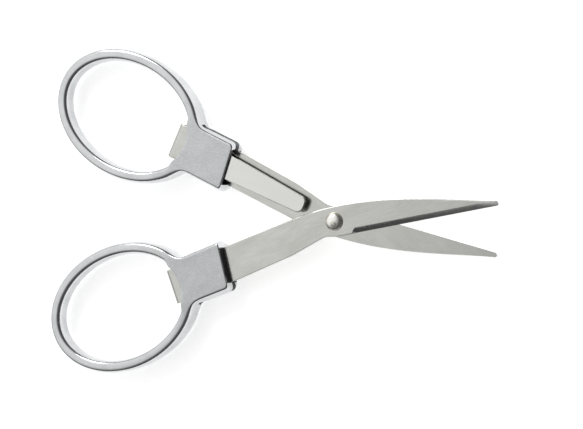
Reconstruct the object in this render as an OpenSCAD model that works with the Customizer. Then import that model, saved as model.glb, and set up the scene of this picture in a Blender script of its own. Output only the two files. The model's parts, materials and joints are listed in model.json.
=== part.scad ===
// Folding thread snips: two blade strips on one rivet, each held in a slotted ring handle.
// One half is drawn along X: ring on the -X side, rivet at X = 0, blade on the +X side.
// The other half is the same pieces turned over about X.

/* [Opening] */
// Angle between the two blades' centre lines as drawn
blade_opening = 17.3; // [2:0.1:40]

/* [Blade strip] */
// Thickness of the stainless strip
strip_t = 0.9; // [0.8:0.05:1]
// Half of the strip's width along the tang
tang_half = 4.05; // [3.8:0.05:4.1]
// Rivet to the centre of the hairpin bend
bend_reach = 42.7; // [41:0.1:44]
// Space between the tang and the tongue, which takes the folded blade
blade_gap = 1.16; // [1.1:0.01:1.2]
// Rivet to the free end of the tongue
tongue_reach = 7.8; // [6:0.1:10]
// Half of the tongue's width near its free end
tongue_end_half = 1.85; // [1.5:0.05:2.4]
// Half of the tongue's width where it leaves the handle
tongue_mid_half = 2.8; // [2.4:0.05:3.4]
// Width of the ground bevel along the cutting edge
bevel_w = 1.16; // [0.8:0.02:1.3]

/* [Handle] */
// Rivet to the centre of the finger ring
ring_reach = 58; // [57.6:0.1:60]
// Half length of the ring's centre line
ring_half_l = 19.1; // [18:0.1:20]
// Half width of the ring's centre line
ring_half_w = 13.45; // [12.8:0.05:13.5]
// Width of the ring's section, seen from the front
ring_w = 2.9; // [2.6:0.1:3]
// Depth of the ring's section at its far end; it deepens towards the neck
ring_far_d = 4; // [3.4:0.1:5]
// Rivet to the middle of the neck's mouth
mouth_reach = 28.3; // [27:0.1:30]
// How far the mouth's outer corner lies behind its inner corner
mouth_slant = 1.1; // [0:0.1:1.5]
// Half of the width of the neck's front and back faces
neck_half = 5.05; // [4.9:0.05:5.2]
// How far the neck's sides bulge beyond its faces, halfway through its depth
neck_bulge = 0.9; // [0.4:0.05:1.1]
// Depth of the neck, front to back
neck_d = 5.5; // [5.3:0.1:6]
// Rivet to where the neck's sides start to flare into the ring
flare_reach = 36; // [34:0.1:37]
// Rivet to the end of the side slot that lets the blade in
side_slot_reach = 39; // [37.8:0.1:40]

/* [Rivet] */
// Radius of the shank
shank_r = 1; // [0.9:0.05:1.2]
// Radius of the domed head
head_r = 2; // [1.8:0.05:2.2]
// Height of the domed head
head_h = 1.15; // [0.8:0.05:1.3]
// Radius of the peened tail
tail_r = 1.7; // [1.5:0.05:1.9]
// Height of the peened tail
tail_h = 0.7; // [0.5:0.05:0.9]

/* [Hidden] */
$fn = 48;

steel = [0.76, 0.76, 0.74];
chrome = [0.70, 0.72, 0.74];
nickel = [0.80, 0.76, 0.64];

// Half of the play between the two strips' inner faces
face_gap = 0.01;
// Radial play between the rivet and the half that turns on it
running_play = 0.05;
// Play between the peened tail and the strip that turns under it
tail_play = 0.02;
// Play between the strip and the handle's slot
slot_play = 0.1;
// Cutters pass this far beyond what they cut
over = 1;

// The blade leaves the tang's line at this angle
blade_bend = 14.45;
tang_angle = blade_opening / 2 + blade_bend;

// Blade outline
spine_start = [-9.5, tang_half];
spine_pull_a = [9.1, tang_half];
spine_pull_b = [23.65, -4.1];
spine_end = [34.9, -8.5];
spine_steps = 24;
tip = [[35.45, -8.75], [35.5, -9.2], [35, -9.6]];
heel = [2.6, -3.8];
choil = [[-26.6, -tang_half], [-12.3, -3.55], [-3.2, -2.35], [-1.1, -3.2]];
edge_t = 0.08;
bevel_start = 0.8;
bevel_length = 36;
cut_line = tip[2] - heel;
cut_angle = atan2(cut_line[1], cut_line[0]);

// Heights above the middle plane, for the front half
tang_low = face_gap;
tang_high = face_gap + strip_t;
tongue_high = face_gap - blade_gap;
tongue_low = tongue_high - strip_t;
bend_mid = (tang_high + tongue_low) / 2;
bend_inner = blade_gap / 2;
tongue_knee = 28;
tongue_corner_r = 1.2;

// Side slot heights, clear of the other half's blade on both sides
side_slot_low = -1.3;
side_slot_high = 0.4;

// Ring section: how square its round is, and how finely ring and section are drawn
section_power = 2.6;
ring_steps = 72;
section_steps = 14;

// Where the flares run into the ring's sides, as an angle from the ring's near end
flare_angle = 32;
flare_steps = 8;
flare_pull_neck = 2.6;
flare_pull_ring = 2.2;
// The flares end this far inside the ring's outer surface
flare_sink = 0.3;
// How far the neck's faces run past the ring's centre line, into the finger hole
neck_lip = 1.6;

// The round of the neck's sides, and where it runs out inside the flares
side_r = (neck_d * neck_d / 4 + neck_bulge * neck_bulge) / (2 * neck_bulge);
side_run_out = 39.5;

// Direction out of the ring's centre line, and a point that far off it along that direction
function ring_normal(angle) =
    let (n = [ring_half_w * cos(angle), ring_half_l * sin(angle)]) n / norm(n);
function ring_point(angle, off) =
    [-ring_reach + ring_half_l * cos(angle), ring_half_w * sin(angle)] + off * ring_normal(angle);

// Depth of the ring: the neck's at its near end, falling away evenly to its far end
function ring_depth(angle) = ring_far_d + (neck_d - ring_far_d) * (1 + cos(angle)) / 2;

// The bounding box's middle is the origin, so the rivet sits off it in X
function world_x(p) = p[0] * cos(tang_angle) - p[1] * sin(tang_angle);
tip_x = max([for (p = tip) world_x(p)]);
ring_x = -min([for (i = [0:ring_steps - 1]) world_x(ring_point(i * 360 / ring_steps, ring_w / 2))]);
rivet_x = (ring_x - tip_x) / 2;

function bezier(a, b, c, d, t) =
    pow(1 - t, 3) * a + 3 * pow(1 - t, 2) * t * b + 3 * (1 - t) * t * t * c + pow(t, 3) * d;

module front_place() {
    translate([rivet_x, 0, neck_d / 2])
        rotate([0, 0, tang_angle])
            children();
}

module rear_place() {
    translate([rivet_x, 0, neck_d / 2])
        rotate([180, 0, 0])
            rotate([0, 0, tang_angle])
                children();
}

// Outline of the blade, the eye round the rivet and the tang
module blade_outline() {
    spine = [for (i = [spine_steps:-1:0])
        bezier(spine_start, spine_pull_a, spine_pull_b, spine_end, i / spine_steps)];
    polygon(concat(
        [[-bend_reach, -tang_half]], choil, [heel, tip[2], tip[1], tip[0]],
        spine, [[-bend_reach, tang_half]]
    ));
}

// Outline of the tongue: tapered, with a rounded free end
module tongue_outline() {
    difference() {
        polygon([
            [-bend_reach, -tang_half], [-tongue_knee, -tongue_mid_half],
            [-tongue_reach, -tongue_end_half], [-tongue_reach, tongue_end_half],
            [-tongue_knee, tongue_mid_half], [-bend_reach, tang_half]
        ]);
        for (side = [-1, 1])
            tongue_corner(side);
    }
}

// What rounds one corner of the tongue's free end
module tongue_corner(side) {
    corner_y = tongue_end_half - tongue_corner_r;
    difference() {
        translate([-tongue_reach - tongue_corner_r, side > 0 ? corner_y : -corner_y - 2 * tongue_corner_r])
            square([2 * tongue_corner_r, 2 * tongue_corner_r]);
        translate([-tongue_reach - tongue_corner_r, side * corner_y])
            circle(r = tongue_corner_r);
    }
}

// Ground off the outer face along the cutting edge
module bevel_cutter() {
    translate([heel[0], heel[1], face_gap])
        rotate([0, 0, cut_angle])
            translate([bevel_start, 0, 0])
                rotate([90, 0, 90])
                    linear_extrude(bevel_length)
                        polygon([
                            [-over, edge_t], [0, edge_t], [bevel_w, strip_t],
                            [bevel_w, strip_t + over], [-over, strip_t + over]
                        ]);
}

// The 180 degree bend that joins tang and tongue
module hairpin() {
    translate([-bend_reach, tang_half, bend_mid])
        rotate([90, 0, 0])
            rotate([0, 0, 90])
                rotate_extrude(angle = 180)
                    translate([bend_inner, 0])
                        square([strip_t, 2 * tang_half]);
}

module strip(eye_r) {
    difference() {
        union() {
            translate([0, 0, tang_low])
                linear_extrude(strip_t)
                    blade_outline();
            translate([0, 0, tongue_low])
                linear_extrude(strip_t)
                    tongue_outline();
            hairpin();
        }
        bevel_cutter();
        translate([0, 0, -over])
            cylinder(r = eye_r, h = strip_t + 2 * over);
    }
}

// One coordinate of the ring's section: between a circle's and a square's
function rounded(value) = sign(value) * pow(abs(value), 2 / section_power);

// The ring: its section swept round an ellipse
module ring() {
    points = [
        for (i = [0:ring_steps - 1], j = [0:section_steps - 1])
            let (
                along = i * 360 / ring_steps,
                round_section = j * 360 / section_steps,
                p = ring_point(along, ring_w / 2 * rounded(cos(round_section)))
            )
            [p[0], p[1], ring_depth(along) / 2 * rounded(sin(round_section))]
    ];
    faces = [
        for (i = [0:ring_steps - 1], j = [0:section_steps - 1])
            let (
                i_next = (i + 1) % ring_steps,
                j_next = (j + 1) % section_steps
            )
            [
                i * section_steps + j, i * section_steps + j_next,
                i_next * section_steps + j_next, i_next * section_steps + j
            ]
    ];
    polyhedron(points, faces);
}

// One side of the neck, from where it starts to flare to where it meets the ring
function flare(side) =
    let (
        start = [-flare_reach, side * neck_half],
        end = ring_point(side * flare_angle, ring_w / 2 - flare_sink),
        n = ring_normal(side * flare_angle),
        along_ring = side * [n[1], -n[0]]
    )
    [for (i = [0:flare_steps])
        bezier(start, start - [flare_pull_neck, 0], end + flare_pull_ring * along_ring, end,
            i / flare_steps)];

// Outline of the neck: mouth, two flared sides, and an end that rims the finger hole
module neck_outline() {
    inner_end = [for (i = [flare_steps:-1:-flare_steps])
        ring_point(i * flare_angle / flare_steps, -neck_lip * (1 - pow(i / flare_steps, 2)))];
    lower = flare(-1);
    polygon(concat(
        [
            [-mouth_reach - mouth_slant / 2, -neck_half],
            [-mouth_reach + mouth_slant / 2, neck_half]
        ],
        flare(1), inner_end, [for (i = [flare_steps:-1:0]) lower[i]]
    ));
}

// The bulge along the neck's two sides: part of a cylinder, cut to the mouth and to the neck's depth
module neck_sides() {
    side_half = neck_half + neck_bulge;
    slant = mouth_slant / 2 * side_half / neck_half;
    for (side = [-1, 1])
        intersection() {
            translate([-side_run_out, side * (side_half - side_r), 0])
                rotate([0, 90, 0])
                    cylinder(r = side_r, h = side_run_out);
            translate([0, 0, -neck_d / 2])
                linear_extrude(neck_d)
                    polygon([
                        [-side_run_out, 0], [-side_run_out, side * side_half],
                        [-mouth_reach + side * slant, side * side_half], [-mouth_reach, 0]
                    ]);
        }
}

// The through slot for the strip, from the mouth into the finger hole
module strip_slot() {
    slot_low = tongue_low - slot_play;
    slot_high = tang_high + slot_play;
    slot_half = tang_half + slot_play;
    translate([-ring_reach, -slot_half, slot_low])
        cube([ring_reach, 2 * slot_half, slot_high - slot_low]);
}

// The slot in the neck's outer side, where the other half's blade swings in
module side_slot() {
    side_reach = neck_half + neck_bulge + over;
    translate([-side_slot_reach, -side_reach, side_slot_low])
        cube([side_slot_reach, side_reach, side_slot_high - side_slot_low]);
}

module handle() {
    difference() {
        union() {
            ring();
            translate([0, 0, -neck_d / 2])
                linear_extrude(neck_d)
                    neck_outline();
            neck_sides();
        }
        strip_slot();
        side_slot();
    }
}

// Part of a ball standing on the plane z = 0, centred on the Z axis
module dome(radius, height) {
    ball_r = (radius * radius + height * height) / (2 * height);
    intersection() {
        translate([0, 0, height - ball_r])
            sphere(r = ball_r);
        cylinder(r = radius, h = height);
    }
}

module front_blade() {
    color(steel) front_place() strip(shank_r);
}

module rear_blade() {
    color(steel) rear_place() strip(shank_r + running_play);
}

module front_handle() {
    color(chrome) front_place() handle();
}

module rear_handle() {
    color(chrome) rear_place() handle();
}

module pivot_rivet() {
    color(nickel) front_place() {
        translate([0, 0, tang_high])
            dome(head_r, head_h);
        translate([0, 0, -tang_high - tail_play])
            cylinder(r = shank_r, h = 2 * tang_high + tail_play);
        translate([0, 0, -tang_high - tail_play])
            mirror([0, 0, 1])
                dome(tail_r, tail_h);
    }
}

front_blade();
rear_blade();
front_handle();
rear_handle();
pivot_rivet();
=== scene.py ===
"""Looks for the folding thread snips: two blade strips, two ring handles and the rivet they turn on.

One half is built along X in metres, ring on the -X side, rivet at 0 and blade on the +X side, with
z = 0 halfway through the object. Each half's pieces are then put in place as the CAD puts its own.
"""
import json
import math

import bmesh
import bpy
from mathutils import Matrix, Vector


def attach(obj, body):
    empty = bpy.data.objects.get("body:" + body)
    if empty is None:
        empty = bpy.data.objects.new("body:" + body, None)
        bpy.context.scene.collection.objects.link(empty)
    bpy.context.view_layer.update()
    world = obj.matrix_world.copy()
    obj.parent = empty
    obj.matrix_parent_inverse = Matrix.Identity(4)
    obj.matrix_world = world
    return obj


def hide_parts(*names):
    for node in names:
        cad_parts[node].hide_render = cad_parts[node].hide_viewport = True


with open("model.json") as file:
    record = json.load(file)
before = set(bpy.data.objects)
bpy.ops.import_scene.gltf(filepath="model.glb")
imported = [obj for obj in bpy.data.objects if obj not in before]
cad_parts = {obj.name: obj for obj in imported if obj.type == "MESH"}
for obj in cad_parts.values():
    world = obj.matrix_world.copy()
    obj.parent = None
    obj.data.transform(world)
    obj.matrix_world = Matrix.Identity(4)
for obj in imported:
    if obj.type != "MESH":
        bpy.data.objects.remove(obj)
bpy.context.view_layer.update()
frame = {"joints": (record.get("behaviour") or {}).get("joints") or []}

MM = 0.001
# Mesh attribute that holds each point's place in its half's own frame, in mm
HALF_PLACE = "half_place"
pivot = Vector(frame["joints"][0]["pos_m"])
TANG_ANGLE = math.radians(23.1)
FRONT = Matrix.Translation(pivot) @ Matrix.Rotation(TANG_ANGLE, 4, "Z")
REAR = Matrix.Translation(pivot) @ Matrix.Rotation(math.pi, 4, "X") @ Matrix.Rotation(TANG_ANGLE, 4, "Z")

# ---------------------------------------------------------------- the half's own sizes, in mm
# A reach is a distance from the rivet towards the ring, and a half is half a width.
# The strip: its thickness, the gap from mid-plane to its inner face, and the gap from tang to tongue
STRIP_T = 0.9
FACE_GAP = 0.01
BLADE_GAP = 1.16
TANG_HALF = 4.05
BEND_REACH = 42.7
TONGUE_REACH = 7.8
TONGUE_KNEE = 28.0
TONGUE_MID_HALF = 2.8
TONGUE_END_HALF = 1.85
TONGUE_CORNER_R = 1.2
BEND_INNER = BLADE_GAP / 2
BEND_R = BEND_INNER + STRIP_T / 2
TANG_MID = FACE_GAP + STRIP_T / 2
STRIP_TOP = TANG_MID + STRIP_T / 2
TONGUE_MID = TANG_MID - 2 * BEND_R

# The blade: its back is a curve with four control points, its lower edge a line eased at its corners
SPINE = [(-9.5, TANG_HALF), (9.1, TANG_HALF), (23.65, -4.1), (34.9, -8.5)]
LOWER_EDGE = [(-BEND_REACH, -TANG_HALF), (-26.6, -TANG_HALF), (-12.3, -3.55), (-3.2, -2.35),
              (-1.1, -3.2), (2.6, -3.8), (35.0, -9.6)]
TIP_X = 35.44
TIP_Y = -9.1
# The point is rounded over this length, to this share of its height
TIP_ROUND = 0.62
TIP_BLUNT = 0.25
HEEL_X = 3.0
BEVEL_W = 1.16
EDGE_T = 0.08

# The ring and the neck: W is a width in their plane, D a depth across it
RING_REACH = 58.0
RING_HALF_L = 19.1
RING_HALF_W = 13.45
RING_W = 2.88
RING_FAR_D = 4.0
NECK_D = 5.498
NECK_HALF = 5.05
NECK_BULGE = 0.87
MOUTH_REACH = 28.3
MOUTH_SLANT = 1.1
FLARE_REACH = 36.0
FLARE_ANGLE = 32.0
FLARE_PULL_NECK = 2.6
FLARE_PULL_RING = 2.2
SIDE_SLOT_REACH = 39.0
SIDE_SLOT_Z = (-1.3, 0.4)
SLOT_PLAY = 0.1
# How far the neck's face runs into the finger hole past the ring's inner wall
NECK_LIP = 0.2

# The rivet; the land is the short straight side under its dome
SHANK_R = 1.0
RUNNING_PLAY = 0.05
HEAD_R = 2.0
HEAD_H = 0.95
HEAD_LAND = 0.06
CROWN_POWER = 2.3
TAIL_R = 1.7
TAIL_H = 0.7
TAIL_GAP = 0.02


# ---------------------------------------------------------------- small helpers
def mix(a, b, t):
    return a + (b - a) * t


def smooth(t):
    t = min(max(t, 0.0), 1.0)
    return t * t * (3 - 2 * t)


def bezier(p, t):
    """Point at t on the cubic curve with the four control points p."""
    weights = ((1 - t) ** 3, 3 * (1 - t) ** 2 * t, 3 * (1 - t) * t ** 2, t ** 3)
    return Vector((sum(w * q[0] for w, q in zip(weights, p)), sum(w * q[1] for w, q in zip(weights, p))))


def along(points, x):
    """Height at x of the line through the points, which run in x."""
    for (x0, y0), (x1, y1) in zip(points, points[1:]):
        if x <= x1:
            return mix(y0, y1, (x - x0) / (x1 - x0))
    return points[-1][1]


def spaced(start, end, steps):
    """Evenly spaced values from start, the last one step short of end."""
    return [mix(start, end, k / steps) for k in range(steps)]


def to_mesh(bm, name):
    """The mesh of a bmesh, which is freed."""
    mesh = bpy.data.meshes.new(name)
    bm.to_mesh(mesh)
    bm.free()
    return mesh


def grid_mesh(name, rings, closed):
    """A mesh skinned over loops of points in mm, run round to the first if closed and capped if not."""
    bm = bmesh.new()
    loops = [[bm.verts.new(Vector(p) * MM) for p in ring] for ring in rings]
    following = loops[1:] + loops[:1] if closed else loops[1:]
    for a, b in zip(loops, following):
        count = len(a)
        for j in range(count):
            bm.faces.new((a[j], a[(j + 1) % count], b[(j + 1) % count], b[j]))
    if not closed:
        bm.faces.new(list(reversed(loops[0])))
        bm.faces.new(loops[-1])
    bmesh.ops.recalc_face_normals(bm, faces=bm.faces)
    return to_mesh(bm, name)


def add_object(name, mesh):
    obj = bpy.data.objects.new(name, mesh)
    bpy.context.scene.collection.objects.link(obj)
    return obj


def put_in_place(mesh, place):
    """Notes each point's place in its half's frame, in mm, then moves the mesh to the part's frame."""
    spots = [c / MM for v in mesh.vertices for c in v.co]
    mesh.attributes.new(HALF_PLACE, "FLOAT_VECTOR", "POINT").data.foreach_set("vector", spots)
    mesh.transform(place)


def soften(mesh, angle):
    """Smooth shading, with edges sharper than the angle left crisp."""
    mesh.polygons.foreach_set("use_smooth", [True] * len(mesh.polygons))
    mesh.set_sharp_from_angle(angle=math.radians(angle))


def cut(mesh, cutter_mesh, recess_material=None):
    """The mesh with the cutter taken out of it; the cut faces take the cutter's material."""
    base = add_object("cut_base", mesh)
    cutter = add_object("cutter", cutter_mesh)
    if recess_material:
        cutter_mesh.materials.append(recess_material)
    modifier = base.modifiers.new("cut", "BOOLEAN")
    modifier.operation = "DIFFERENCE"
    modifier.solver = "EXACT"
    modifier.material_mode = "TRANSFER"
    modifier.object = cutter
    bpy.context.view_layer.update()
    evaluated = base.evaluated_get(bpy.context.evaluated_depsgraph_get())
    result = bpy.data.meshes.new_from_object(evaluated)
    bpy.data.objects.remove(base)
    bpy.data.objects.remove(cutter)
    return result


def box_mesh(low, high, edge_r):
    """A box in mm, its edges along X rounded."""
    bm = bmesh.new()
    bmesh.ops.create_cube(bm, size=1)
    size = Vector(high) - Vector(low)
    middle = (Vector(high) + Vector(low)) / 2
    for v in bm.verts:
        v.co = Vector(v.co[i] * size[i] + middle[i] for i in range(3)) * MM
    along_x = [e for e in bm.edges if abs((e.verts[0].co - e.verts[1].co).normalized().x) > 0.9]
    bmesh.ops.bevel(bm, geom=along_x, offset=edge_r * MM, segments=3, affect="EDGES", profile=0.5)
    return to_mesh(bm, "box")


# ---------------------------------------------------------------- materials
class Nodes:
    """A material's node tree, with short calls to add nodes."""

    def __init__(self, name):
        self.material = bpy.data.materials.new(name)
        self.material.use_nodes = True
        self.tree = self.material.node_tree
        self.shader = self.tree.nodes["Principled BSDF"]
        self.place = self.add("Attribute", attribute_name=HALF_PLACE).outputs["Vector"]

    def add(self, kind, **settings):
        node = self.tree.nodes.new("ShaderNode" + kind)
        for key, value in settings.items():
            setattr(node, key, value)
        return node

    def link(self, a, b):
        self.tree.links.new(a, b)

    def stretched(self, scale):
        """The half's own coordinates in mm, times a scale for each axis."""
        mapping = self.add("Mapping")
        mapping.inputs["Scale"].default_value = scale
        self.link(self.place, mapping.inputs["Vector"])
        return mapping.outputs["Vector"]

    def noise(self, scale, detail=4.0, rough=0.6):
        """Noise whose grain is 1 / scale mm along each axis."""
        node = self.add("TexNoise")
        node.inputs["Scale"].default_value = 1.0
        node.inputs["Detail"].default_value = detail
        node.inputs["Roughness"].default_value = rough
        self.link(self.stretched(scale), node.inputs["Vector"])
        return node.outputs["Fac"]

    def remap(self, value, low, high, to_low, to_high):
        node = self.add("MapRange")
        node.clamp = True
        for key, number in (("From Min", low), ("From Max", high), ("To Min", to_low), ("To Max", to_high)):
            node.inputs[key].default_value = number
        self.link(value, node.inputs["Value"])
        return node.outputs["Result"]

    def math(self, operation, a, b=None):
        node = self.add("Math", operation=operation)
        for socket, value in zip(node.inputs, (a, b)):
            if value is None:
                continue
            if isinstance(value, (int, float)):
                socket.default_value = value
            else:
                self.link(value, socket)
        return node.outputs[0]

    def blend_colour(self, factor, a, b):
        node = self.add("Mix", data_type="RGBA")
        self.link(factor, node.inputs[0])
        for socket, value in ((node.inputs[6], a), (node.inputs[7], b)):
            if isinstance(value, tuple):
                socket.default_value = (*value, 1)
            else:
                self.link(value, socket)
        return node.outputs[2]

    def bump(self, height, strength, distance_mm, after=None):
        node = self.add("Bump")
        node.inputs["Strength"].default_value = strength
        node.inputs["Distance"].default_value = distance_mm * MM
        self.link(height, node.inputs["Height"])
        if after is not None:
            self.link(after, node.inputs["Normal"])
        return node.outputs["Normal"]

    def axis(self, name):
        """One of the half's own coordinates, in mm."""
        node = self.add("SeparateXYZ")
        self.link(self.stretched((1, 1, 1)), node.inputs[0])
        return node.outputs[name]

    def finish(self, colour=None, roughness=None, normal=None, metallic=1.0):
        self.shader.inputs["Metallic"].default_value = metallic
        for key, value in (("Base Color", colour), ("Roughness", roughness), ("Normal", normal)):
            if value is None:
                continue
            if isinstance(value, tuple):
                self.shader.inputs[key].default_value = (*value, 1)
            elif isinstance(value, (int, float)):
                self.shader.inputs[key].default_value = value
            else:
                self.link(value, self.shader.inputs[key])
        return self.material


def strip_steel():
    """Stainless strip: a fine grind along its length, stains, a tongue painted brighter (a painted
    reflection) and a blade darker towards its point.
    """
    n = Nodes("strip_steel")
    stain, pale, line = (0.60, 0.60, 0.565), (0.68, 0.68, 0.65), (0.50, 0.50, 0.47)
    tongue_painted_highlight, darker_blade = (0.82, 0.82, 0.79), (0.47, 0.465, 0.445)
    grind = n.noise((0.35, 9.0, 9.0), detail=5)
    cloud = n.noise((0.12, 0.3, 0.3), detail=3)
    scratch = n.remap(n.noise((0.5, 14.0, 3.0), detail=2), 0.66, 0.72, 0, 1)
    shade = n.blend_colour(n.remap(cloud, 0.35, 0.65, 0, 1), stain, pale)
    shade = n.blend_colour(n.remap(grind, 0.3, 0.7, 0, 0.35), shade, line)
    # The tongue is painted brighter: a painted reflection, standing in for the brighter light that the
    # tongue's face reflects.
    below_tang = n.remap(n.axis("Z"), -1.1, -0.9, 0.75, 0)
    clear_of_bend = n.remap(n.axis("X"), -41, -39, 0, 1)
    shade = n.blend_colour(n.math("MULTIPLY", below_tang, clear_of_bend), shade, tongue_painted_highlight)
    # The blade is darker towards its point.
    blade_darkening = n.remap(n.axis("X"), -5, 12, 0, 0.25)
    shade = n.blend_colour(blade_darkening, shade, darker_blade)
    roughness = n.remap(grind, 0.25, 0.75, 0.15, 0.25)
    roughness = n.math("ADD", roughness, n.math("MULTIPLY", scratch, 0.08))
    normal = n.bump(grind, 0.2, 0.004)
    normal = n.bump(scratch, 0.2, 0.004, normal)
    return n.finish(shade, roughness, normal)


def ground_bevel():
    """The ground face along the cutting edge: fine lines across it, duller towards the point."""
    n = Nodes("ground_bevel")
    dark, pale = (0.42, 0.42, 0.41), (0.56, 0.56, 0.55)
    lines = n.noise((11.0, 0.8, 0.8), detail=4)
    shade = n.blend_colour(n.remap(lines, 0.3, 0.7, 0, 1), dark, pale)
    dull_point = n.remap(n.axis("X"), 8, 34, 0, 0.26)
    roughness = n.math("ADD", n.remap(lines, 0.3, 0.7, 0.20, 0.32), dull_point)
    return n.finish(shade, roughness, n.bump(lines, 0.35, 0.006))


def handle_chrome():
    """Plated casting: polished all over but for the neck's faces, which are satin with bright specks."""
    n = Nodes("handle_chrome")
    grey, pale = (0.62, 0.635, 0.64), (0.70, 0.715, 0.72)
    pit, glint = (0.50, 0.515, 0.52), (0.86, 0.87, 0.88)
    facing = n.add("SeparateXYZ")
    n.link(n.add("TexCoord").outputs["Normal"], facing.inputs[0])
    flat = n.remap(n.math("ABSOLUTE", facing.outputs["Z"]), 0.965, 0.995, 0, 1)
    neck = n.remap(n.axis("X"), -47, -41, 0, 1)
    satin = n.math("MULTIPLY", flat, neck)
    speck = n.remap(n.noise((5.0, 5.0, 5.0), detail=2), 0.60, 0.68, 0, 1)
    grain = n.noise((2.6, 2.6, 2.6), detail=6, rough=0.7)
    cloud = n.noise((0.25, 0.25, 0.25), detail=3)
    shade = n.blend_colour(n.remap(cloud, 0.35, 0.65, 0, 1), grey, pale)
    pitted = n.math("MULTIPLY", satin, n.remap(grain, 0.35, 0.65, 0.0, 0.6))
    shade = n.blend_colour(pitted, shade, pit)
    shade = n.blend_colour(n.math("MULTIPLY", satin, speck), shade, glint)
    polish = n.remap(n.noise((0.6, 0.6, 0.6), detail=4), 0.3, 0.7, 0.10, 0.20)
    rough = n.math("ADD", polish, n.math("MULTIPLY", satin, 0.24))
    height = n.math("MULTIPLY", grain, n.math("ADD", n.math("MULTIPLY", satin, 0.9), 0.1))
    return n.finish(shade, rough, n.bump(height, 0.35, 0.02))


def recess_dark_and_painted_shade():
    """Inside the slots: unpolished and dark, with a few bright pits. The dark is partly painted shade of the
    deep slots, and it also paints shade on the mouth's end faces.
    """
    n = Nodes("recess_dark_and_painted_shade")
    # black and dark: the slots' own dark inside, and partly painted shade; the glint colour paints bright
    # glints in a few pits.
    black, dark, glint = (0.05, 0.05, 0.055), (0.13, 0.13, 0.14), (0.55, 0.55, 0.56)
    grain = n.noise((1.6, 1.6, 1.6), detail=4)
    pits = n.remap(n.noise((3.0, 3.0, 3.0), detail=2), 0.66, 0.72, 0, 1)
    shade = n.blend_colour(n.remap(grain, 0.35, 0.65, 0, 1), black, dark)
    shade = n.blend_colour(pits, shade, glint)
    return n.finish(shade, n.remap(grain, 0.3, 0.7, 0.35, 0.55), n.bump(grain, 0.5, 0.05), metallic=0.9)


def rivet_nickel():
    """Nickel-plated head, scuffed a little off its middle where it was set, yellower towards its rim."""
    n = Nodes("rivet_nickel")
    bright, yellow, stain = (0.94, 0.93, 0.88), (0.74, 0.71, 0.58), (0.36, 0.33, 0.22)
    scuff_place = (-0.15, -0.45, 0)
    radial = n.add("VectorMath", operation="LENGTH")
    n.link(n.stretched((1, 1, 0)), radial.inputs[0])
    rim = n.remap(radial.outputs["Value"], 1.2, 2.0, 0, 1)
    from_scuff = n.add("VectorMath", operation="DISTANCE")
    from_scuff.inputs[1].default_value = scuff_place
    n.link(n.stretched((1, 1, 0)), from_scuff.inputs[0])
    scuff = n.remap(from_scuff.outputs["Value"], 0.3, 0.8, 1, 0)
    marks = n.noise((2.4, 2.4, 0.5), detail=3, rough=0.7)
    fine = n.noise((6, 6, 6), detail=3)
    shade = n.blend_colour(rim, bright, yellow)
    stained = n.math("MULTIPLY", scuff, n.remap(marks, 0.44, 0.54, 0, 0.9))
    shade = n.blend_colour(stained, shade, stain)
    normal = n.bump(n.math("MULTIPLY", marks, scuff), 0.7, 0.12)
    normal = n.bump(fine, 0.15, 0.01, normal)
    return n.finish(shade, n.remap(fine, 0.3, 0.7, 0.16, 0.30), normal)


def pale_floor():
    """A pale, evenly lit table top."""
    n = Nodes("pale_floor")
    cloud = n.noise((0.01, 0.01, 0.01), detail=2)
    shade = n.blend_colour(cloud, (0.90, 0.90, 0.90), (0.93, 0.93, 0.93))
    n.shader.inputs["Emission Color"].default_value = (1, 1, 1, 1)
    n.shader.inputs["Emission Strength"].default_value = 0.70
    n.shader.inputs["Specular IOR Level"].default_value = 0.0
    return n.finish(shade, 0.9, metallic=0.0)


# ---------------------------------------------------------------- the blade strip
def spine_height(x):
    """Upper edge of the strip at x."""
    if x <= SPINE[0][0]:
        return TANG_HALF
    halvings = 30
    low, high = 0.0, 1.0
    for _ in range(halvings):
        t = (low + high) / 2
        if bezier(SPINE, t).x < x:
            low = t
        else:
            high = t
    return bezier(SPINE, low).y


def lower_height(x):
    """Lower edge of the strip at x, its corners eased over a millimetre or so, and less on the blade."""
    tang_ease, blade_ease, blade_start = 1.1, 0.35, 2.0
    reach = tang_ease if x < blade_start else blade_ease
    spread = range(-4, 5)
    samples = [along(LOWER_EDGE, max(x + reach * k / 4, -BEND_REACH)) for k in spread]
    weights = [5 - abs(k) for k in spread]
    return sum(w * s for w, s in zip(weights, samples)) / sum(weights)


def rounded_tip(x, y):
    """Draws a height in towards the point's middle as x nears the end of the blade."""
    start = TIP_X - TIP_ROUND
    if x <= start:
        return y
    share = math.sqrt(max(1 - ((x - start) / (TIP_X - start)) ** 2, 0.0))
    return mix(TIP_Y, y, mix(TIP_BLUNT, 1, share))


def strip_section(low, high, bevel):
    """Points (y, height above the strip's middle) round the strip, the outer face at the top.
    bevel runs from 0, a rounded corner, to 1, the ground bevel."""
    half = STRIP_T / 2
    corner, spine_r, support = 0.14, 0.24, 0.1
    edge_chamfer, spine_chamfer = 0.04, 0.08
    most_of_width = 0.62
    corner_bow, bevel_bow = 0.29, -0.05
    bevel_steps, spine_steps = 6, 5
    run = mix(corner, min(BEVEL_W, (high - low) * most_of_width), bevel)
    foot = mix(half - corner, -half + EDGE_T, bevel)
    bow = mix(corner_bow, bevel_bow, bevel)
    points = [(low + edge_chamfer, -half), (low, -half + edge_chamfer)]
    for k in range(bevel_steps + 1):
        t = k / bevel_steps
        y = low + run * t
        h = mix(foot, half, t)
        push = bow * 4 * t * (1 - t)
        across = Vector((-(half - foot), run)).normalized() * push * math.hypot(run, half - foot)
        points.append((y + across.x, min(h + across.y, half)))
    points += [(low + run + support, half), (high - spine_r - support, half)]
    for k in range(spine_steps + 1):
        angle = math.pi / 2 * k / spine_steps
        y = high - spine_r + spine_r * math.sin(angle)
        points.append((y, half - spine_r + spine_r * math.cos(angle)))
    points += [(high, -half + spine_chamfer), (high - spine_chamfer, -half)]
    return points


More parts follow.
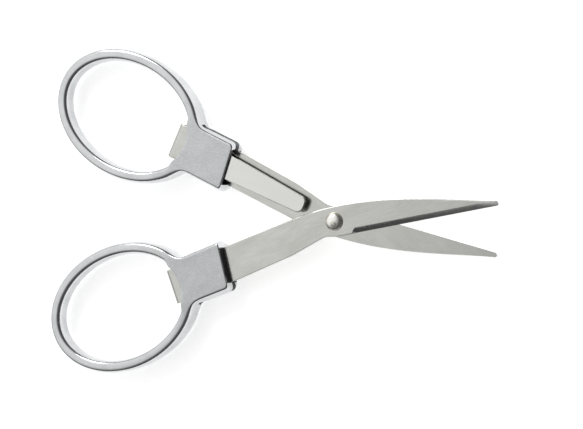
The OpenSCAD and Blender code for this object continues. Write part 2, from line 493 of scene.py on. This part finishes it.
def ribbon_place(x, z, turn, section):
    """A section's points at (x, z), its outer side turned by the angle from +Z towards -X."""
    return [(x - h * math.sin(turn), y, z + h * math.cos(turn)) for y, h in section]


def tongue_sections():
    """Sections of the tongue, from its rounded free end to the bend."""
    end_steps, length_steps = 8, 26
    corner_start = -TONGUE_REACH - TONGUE_CORNER_R
    taper = [(-BEND_REACH, TANG_HALF), (-TONGUE_KNEE, TONGUE_MID_HALF), (-TONGUE_REACH, TONGUE_END_HALF)]
    xs = [corner_start + TONGUE_CORNER_R * math.cos(math.pi / 2 * k / end_steps) for k in range(end_steps)]
    xs += [mix(corner_start, -BEND_REACH, k / length_steps) for k in range(length_steps + 1)]
    sections = []
    for x in xs:
        half = along(taper, x)
        if x > corner_start:
            inset = (x - corner_start) / TONGUE_CORNER_R
            half -= TONGUE_CORNER_R * (1 - math.sqrt(max(1 - inset * inset, 0.0)))
        sections.append(ribbon_place(x, TONGUE_MID, math.pi, strip_section(-half, half, 0)))
    return sections


def bend_sections():
    """Sections round the hairpin bend, from the tongue to the tang."""
    steps = 24
    sections = []
    for k in range(1, steps):
        turn = math.pi * (1 - k / steps)
        x = -BEND_REACH - BEND_R * math.sin(turn)
        z = TANG_MID - BEND_R + BEND_R * math.cos(turn)
        sections.append(ribbon_place(x, z, turn, strip_section(-TANG_HALF, TANG_HALF, 0)))
    return sections


def tang_and_blade_sections():
    """Sections of the tang, the eye and the blade, closer together at the heel and the point."""
    mid_tang, heel_run, tip_run = -28, 2, 0.7
    tip_steps = 8
    bevel_rise = 1.3
    xs = spaced(-BEND_REACH, mid_tang, 8) + spaced(mid_tang, HEEL_X, 62)
    xs += spaced(HEEL_X, HEEL_X + heel_run, 16) + spaced(HEEL_X + heel_run, TIP_X - tip_run, 60)
    xs += [TIP_X - tip_run * (1 - math.sin(math.pi / 2 * k / tip_steps)) for k in range(tip_steps + 1)]
    sections = []
    for x in xs:
        low = rounded_tip(x, lower_height(x))
        high = rounded_tip(x, spine_height(min(x, SPINE[-1][0])))
        ground = math.sqrt(smooth((x - HEEL_X) / bevel_rise)) if x > HEEL_X else 0.0
        sections.append(ribbon_place(x, TANG_MID, 0, strip_section(low, high, ground)))
    return sections


def eye_cutter(eye_r):
    """A cylinder through the strip where the rivet passes."""
    bm = bmesh.new()
    bmesh.ops.create_cone(bm, cap_ends=True, segments=48, radius1=eye_r * MM, radius2=eye_r * MM,
                          depth=3 * STRIP_T * MM, matrix=Matrix.Translation((0, 0, TANG_MID * MM)))
    return to_mesh(bm, "eye")


def on_ground_face(face):
    """Whether a face of the strip belongs to the ground bevel."""
    least_tilt, most_tilt, margin = 0.35, 0.97, 0.1
    centre = face.center / MM
    tilted = least_tilt < face.normal.z < most_tilt
    near_edge = centre.y < along(LOWER_EDGE, centre.x) + BEVEL_W + margin
    return centre.x > HEEL_X and tilted and near_edge


def strip_mesh(name, eye_r):
    """One strip, from the tongue's free end round the bend to the blade's point, with its eye."""
    sections = tongue_sections() + bend_sections() + tang_and_blade_sections()
    mesh = cut(grid_mesh(name, sections, closed=False), eye_cutter(eye_r))
    mesh.name = name
    mesh.materials.clear()
    mesh.materials.append(STEEL)
    mesh.materials.append(BEVEL)
    for face in mesh.polygons:
        face.material_index = 1 if on_ground_face(face) else 0
    soften(mesh, angle=28)
    return mesh


# ---------------------------------------------------------------- the handle
def ring_normal(angle):
    return Vector((RING_HALF_W * math.cos(angle), RING_HALF_L * math.sin(angle))).normalized()


def ring_point(angle, off):
    middle = Vector((-RING_REACH + RING_HALF_L * math.cos(angle), RING_HALF_W * math.sin(angle)))
    return middle + off * ring_normal(angle)


def flare(side):
    """Side of the neck from where it starts to flare to the ring, as a curve's control points."""
    angle = side * math.radians(FLARE_ANGLE)
    start = Vector((-FLARE_REACH, side * NECK_HALF))
    end = ring_point(angle, RING_W / 2)
    n = ring_normal(angle)
    along_ring = side * Vector((n.y, -n.x))
    return [start, start - Vector((FLARE_PULL_NECK, 0)), end + FLARE_PULL_RING * along_ring, end]


def fillet(before, corner, after, radius, steps):
    """Points of an arc that rounds a corner."""
    a, b = (before - corner).normalized(), (after - corner).normalized()
    half = a.angle(b) / 2
    reach = radius / math.tan(half)
    centre = corner + (a + b).normalized() * radius / math.sin(half)
    p, q = corner + a * reach - centre, corner + b * reach - centre
    points = []
    for k in range(steps + 1):
        t = k / steps
        points.append(centre + (p * (1 - t) + q * t).normalized() * radius)
    return points


def neck_outline():
    """Outer outline of the neck from the ring's +Y junction round the mouth to its -Y junction.
    The side's points stop a run short of each corner, and the mouth's line ends short of both."""
    inner_r, outer_r = 0.6, 1.05
    inner_run, outer_run = 0.7, 1.3
    mouth_start, mouth_end = 0.09, 0.87
    flare_steps, side_steps, corner_steps, mouth_steps = 20, 8, 8, 12
    inner_corner = Vector((-MOUTH_REACH + MOUTH_SLANT / 2, NECK_HALF))
    outer_corner = Vector((-MOUTH_REACH - MOUTH_SLANT / 2, -NECK_HALF))
    upper, lower = flare(1), flare(-1)
    points = [bezier(upper, 1 - k / flare_steps) for k in range(flare_steps)]
    points += [Vector((x, NECK_HALF)) for x in spaced(-FLARE_REACH, inner_corner.x - inner_run, side_steps)]
    points += fillet(upper[0], inner_corner, outer_corner, inner_r, corner_steps)
    for k in range(mouth_steps + 1):
        points.append(inner_corner.lerp(outer_corner, mix(mouth_start, mouth_end, k / mouth_steps)))
    points += fillet(inner_corner, outer_corner, lower[0], outer_r, corner_steps)
    points += [Vector((x, -NECK_HALF)) for x in spaced(outer_corner.x - outer_run, -FLARE_REACH, side_steps)]
    points += [bezier(lower, k / flare_steps) for k in range(flare_steps + 1)]
    return points


def outward(points, i):
    """Unit normal of an open outline at its ith point, to its left."""
    before = points[i - 1] if i else points[i]
    after = points[i + 1] if i < len(points) - 1 else points[i]
    d = (after - before).normalized()
    return Vector((-d.y, d.x))


def neck_rim(t, half_depth, bulge):
    """The neck's side at t, from mid-depth to its face: how far in from the outline, and height."""
    rim_r, rim_inset = 0.5, 0.3
    wall_share = 0.5
    least_bulge = 0.01
    side_r = (half_depth ** 2 + bulge ** 2) / (2 * bulge) if bulge > least_bulge else 0.0

    def inset(height):
        return side_r - bulge - math.sqrt(side_r ** 2 - height ** 2) if side_r else 0.0

    rim_start = half_depth - rim_r
    if t < wall_share:
        height = rim_start * t / wall_share
        return inset(height), height
    angle = math.pi / 2 * (t - wall_share) / (1 - wall_share)
    start = inset(rim_start)
    return start + (rim_inset - start) * (1 - math.cos(angle)), rim_start + rim_r * math.sin(angle)


def ring_rim(t, half_depth):
    """The ring's side at t, from mid-depth to the crown of its front: a squarish round."""
    power = 3.0
    crown_w = 0.3
    angle = math.pi / 2 * t
    reach = (RING_W - crown_w) / 2
    return (reach * (1 - abs(math.cos(angle)) ** (2 / power)) if t < 1 else reach,
            half_depth * abs(math.sin(angle)) ** (2 / power))


def handle_section(outer, out_dir, inner, in_dir, half_depth, neckness, bulge):
    """Closed loop of points: outer rim, front face, inner wall and back face."""
    steps = 14
    # The sides start just off mid-depth, so that front and back share no point
    first_t = 0.01
    face_shares = (0.04, 0.35, 0.65, 0.96)
    arcs = []
    for point, direction, side_bulge in ((outer, out_dir, bulge), (inner, in_dir, 0.0)):
        arc = []
        for k in range(steps + 1):
            t = max(k / steps, first_t)
            ring_in, ring_z = ring_rim(t, half_depth)
            neck_in, neck_z = neck_rim(t, half_depth, side_bulge)
            spot = point - direction * mix(ring_in, neck_in, neckness)
            arc.append((spot.x, spot.y, mix(ring_z, neck_z, neckness)))
        arcs.append(arc)
    outer_arc, inner_arc = arcs
    a, b = outer_arc[-1], inner_arc[-1]
    face = [tuple(mix(a[i], b[i], share) for i in range(3)) for share in face_shares]
    front = outer_arc + face + list(reversed(inner_arc))
    back = [(x, y, -z) for x, y, z in reversed(front)]
    return front + back


def handle_stations():
    """Where the handle's sections stand: outer point, direction out, ring angle, and how far it is neck."""
    neck_ease = 0.14
    ring_steps = 132
    flare_rad = math.radians(FLARE_ANGLE)
    outline = neck_outline()
    lengths = [0.0]
    for a, b in zip(outline, outline[1:]):
        lengths.append(lengths[-1] + (b - a).length)
    found = []
    for i, point in enumerate(outline):
        share = lengths[i] / lengths[-1]
        angle = mix(flare_rad, -flare_rad, share)
        found.append((point, outward(outline, i), angle, smooth(min(share, 1 - share) / neck_ease)))
    for k in range(1, ring_steps):
        angle = mix(-flare_rad, flare_rad - 2 * math.pi, k / ring_steps)
        found.append((ring_point(angle, RING_W / 2), ring_normal(angle), angle, 0.0))
    return found


def casting_mesh(name):
    """The ring and the neck before the slots are cut."""
    rings = []
    for outer, out_dir, angle, neckness in handle_stations():
        inner = ring_point(angle, -RING_W / 2 - NECK_LIP * neckness)
        depth = mix(RING_FAR_D, NECK_D, (1 + math.cos(angle)) / 2)
        depth = mix(depth, NECK_D, neckness)
        spare = min(max((NECK_HALF + NECK_BULGE - abs(outer.y)) / NECK_BULGE, 0.0), 1.0)
        bulge = NECK_BULGE * spare * out_dir.y ** 2
        rings.append(handle_section(outer, out_dir, inner, -ring_normal(angle), depth / 2, neckness, bulge))
    return grid_mesh(name, rings, closed=True)


def handle_mesh(name):
    """The casting with a slot for its own strip and one for the other half's blade, the end faces at its
    mouth painted dark as painted shade.
    """
    strip_slot_r, side_slot_r = 0.25, 0.2
    mouth_facing, mouth_depth = 0.9, 1
    slot_half = TANG_HALF + SLOT_PLAY
    slot_low = TONGUE_MID - STRIP_T / 2 - SLOT_PLAY
    strip_slot = box_mesh((-RING_REACH, -slot_half, slot_low), (0, slot_half, STRIP_TOP + SLOT_PLAY),
                          strip_slot_r)
    side_slot = box_mesh((-SIDE_SLOT_REACH, -2 * NECK_HALF, SIDE_SLOT_Z[0]), (0, 0, SIDE_SLOT_Z[1]),
                         side_slot_r)
    mesh = casting_mesh(name)
    mesh.materials.append(CHROME)
    mesh = cut(mesh, strip_slot, RECESS_AND_SHADE)
    mesh = cut(mesh, side_slot, CHROME)
    mesh.name = name
    # The end faces at the mouth take the dark recess material: painted shade, where the mouth's end is dark
    # with shadow and dark reflection.
    recess = mesh.materials.find(RECESS_AND_SHADE.name)
    for face in mesh.polygons:
        at_mouth = face.normal.x > mouth_facing and face.center.x / MM > -MOUTH_REACH - mouth_depth
        if at_mouth and abs(face.center.y) / MM < slot_half:
            face.material_index = recess
    soften(mesh, angle=32)
    return mesh


# ---------------------------------------------------------------- the rivet
def rivet_profile():
    """Radius and height down the rivet's side: domed head with a small land, shank, peened tail."""
    head_steps, tail_steps = 24, 16
    chamfer, tail_land = 0.03, 0.05
    tail_top = -STRIP_TOP - TAIL_GAP
    profile = []
    for k in range(1, head_steps + 1):
        a = math.pi / 2 * k / head_steps
        r = HEAD_R * math.sin(a) ** (2 / CROWN_POWER)
        rise = (HEAD_H - HEAD_LAND) * abs(math.cos(a)) ** (2 / CROWN_POWER)
        profile.append((r, STRIP_TOP + HEAD_LAND + rise))
    profile += [(HEAD_R - chamfer, STRIP_TOP), (SHANK_R, STRIP_TOP)]
    profile += [(SHANK_R, tail_top), (TAIL_R - chamfer, tail_top), (TAIL_R, tail_top - tail_land)]
    ball = (TAIL_R ** 2 + TAIL_H ** 2) / (2 * TAIL_H)
    sweep = math.asin(TAIL_R / ball)
    for k in range(tail_steps - 1, 0, -1):
        a = sweep * k / tail_steps
        profile.append((ball * math.sin(a), tail_top - TAIL_H + ball - ball * math.cos(a)))
    return profile


def rivet_mesh(name):
    """The rivet's profile turned about its axis."""
    steps = 72
    profile = rivet_profile()
    bm = bmesh.new()
    first = bm.verts.new(Vector((0, 0, STRIP_TOP + HEAD_H)) * MM)
    last = bm.verts.new(Vector((0, 0, -STRIP_TOP - TAIL_GAP - TAIL_H)) * MM)
    columns = []
    for i in range(steps):
        a = 2 * math.pi * i / steps
        columns.append([bm.verts.new(Vector((r * math.cos(a), r * math.sin(a), z)) * MM) for r, z in profile])
    for i, column in enumerate(columns):
        following = columns[(i + 1) % steps]
        bm.faces.new((first, column[0], following[0]))
        bm.faces.new((last, following[-1], column[-1]))
        for j in range(len(profile) - 1):
            bm.faces.new((column[j], column[j + 1], following[j + 1], following[j]))
    bmesh.ops.recalc_face_normals(bm, faces=bm.faces)
    mesh = to_mesh(bm, name)
    mesh.materials.append(NICKEL)
    soften(mesh, angle=40)
    return mesh


STEEL = strip_steel()
BEVEL = ground_bevel()
CHROME = handle_chrome()
RECESS_AND_SHADE = recess_dark_and_painted_shade()
NICKEL = rivet_nickel()

pieces = [
    ("front_strip", strip_mesh("front_strip", SHANK_R), FRONT, "front_half", "front_blade", "strip_steel"),
    ("rear_strip", strip_mesh("rear_strip", SHANK_R + RUNNING_PLAY), REAR, "rear_half", "rear_blade",
     "strip_steel"),
    ("front_ring_handle", handle_mesh("front_ring_handle"), FRONT, "front_half", "front_handle",
     "handle_chrome"),
    ("rear_ring_handle", handle_mesh("rear_ring_handle"), REAR, "rear_half", "rear_handle",
     "handle_chrome"),
    ("domed_rivet", rivet_mesh("domed_rivet"), FRONT, "front_half", "pivot_rivet", "rivet_nickel"),
]
for name, mesh, place, body, node, slot in pieces:
    put_in_place(mesh, place)
    piece = add_object(name, mesh)
    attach(piece, body)
    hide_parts(node)


# ---------------------------------------------------------------- floor, light and camera
# Where light comes from: a broad glow over the rings (-X), and the key light over the far side (+Y)
GLOW = (-0.66, 0.28, 0.69)
KEY = (-0.46, 0.68, 0.57)
# The floor lies this far under the part, in metres, so that the two never share a plane
FLOOR_GAP = 0.00005


def floor():
    """A plain square floor, its half-width in metres."""
    half = 1.5
    bm = bmesh.new()
    bmesh.ops.create_grid(bm, x_segments=4, y_segments=4, size=half)
    mesh = to_mesh(bm, "floor")
    mesh.materials.append(pale_floor())
    put_in_place(mesh, Matrix.Translation((0, 0, -FLOOR_GAP)))
    obj = add_object("floor", mesh)


def softbox(name, direction, distance, size, power):
    """A rectangular area light that faces the object from a direction; sizes in metres."""
    data = bpy.data.lights.new(name, "AREA")
    data.shape = "RECTANGLE"
    data.size, data.size_y = size
    data.energy = power
    obj = bpy.data.objects.new(name, data)
    bpy.context.scene.collection.objects.link(obj)
    away = Vector(direction).normalized()
    obj.location = away * distance
    obj.rotation_euler = away.to_track_quat("Z", "Y").to_euler()


def surroundings():
    """One broad pale glow over the rings, and a dark room all round it."""
    world = bpy.data.worlds.new("surroundings")
    bpy.context.scene.world = world
    world.use_nodes = True
    tree = world.node_tree
    coords = tree.nodes.new("ShaderNodeTexCoord")
    toward = tree.nodes.new("ShaderNodeVectorMath")
    toward.operation = "DOT_PRODUCT"
    toward.inputs[1].default_value = Vector(GLOW).normalized()
    tree.links.new(coords.outputs["Generated"], toward.inputs[0])
    ramp = tree.nodes.new("ShaderNodeValToRGB")
    stops = ((0.1, 0.09), (0.5, 0.125), (0.72, 0.42), (0.88, 0.88), (1.0, 1.0))
    for _ in stops[2:]:
        ramp.color_ramp.elements.new(0.5)
    for element, (place, level) in zip(ramp.color_ramp.elements, stops):
        element.position = place
        element.color = (level, level, level, 1)
    tree.links.new(toward.outputs["Value"], ramp.inputs[0])
    tree.links.new(ramp.outputs[0], tree.nodes["Background"].inputs["Color"])
    tree.nodes["Background"].inputs["Strength"].default_value = 1.0


def camera():
    """Above the object, leaning 24 degrees towards the blades, as the reference view has it."""
    lean, rise, roll = (math.radians(a) for a in (23.74, 1.34, 2.06))
    distance, shift_right, shift_up = 265.8, -9.74, 1.54
    back = Vector((math.sin(lean) * math.cos(rise), math.sin(rise), math.cos(lean) * math.cos(rise)))
    right = Vector((0, 1, 0)).cross(back).normalized()
    up = back.cross(right)
    right, up = (right * math.cos(roll) + up * math.sin(roll), up * math.cos(roll) - right * math.sin(roll))
    data = bpy.data.cameras.new("camera")
    data.lens = 74.67
    data.sensor_width = 36
    data.clip_start = 0.01
    obj = bpy.data.objects.new("camera", data)
    bpy.context.scene.collection.objects.link(obj)
    spot = pivot + (back * distance + right * shift_right + up * shift_up) * MM
    obj.matrix_world = Matrix.Translation(spot) @ Matrix((right, up, back)).transposed().to_4x4()
    bpy.context.scene.camera = obj


floor()
softbox("key", KEY, distance=0.9, size=(0.34, 0.40), power=2.2)
surroundings()
camera()
bpy.context.scene.view_settings.view_transform = "Standard"
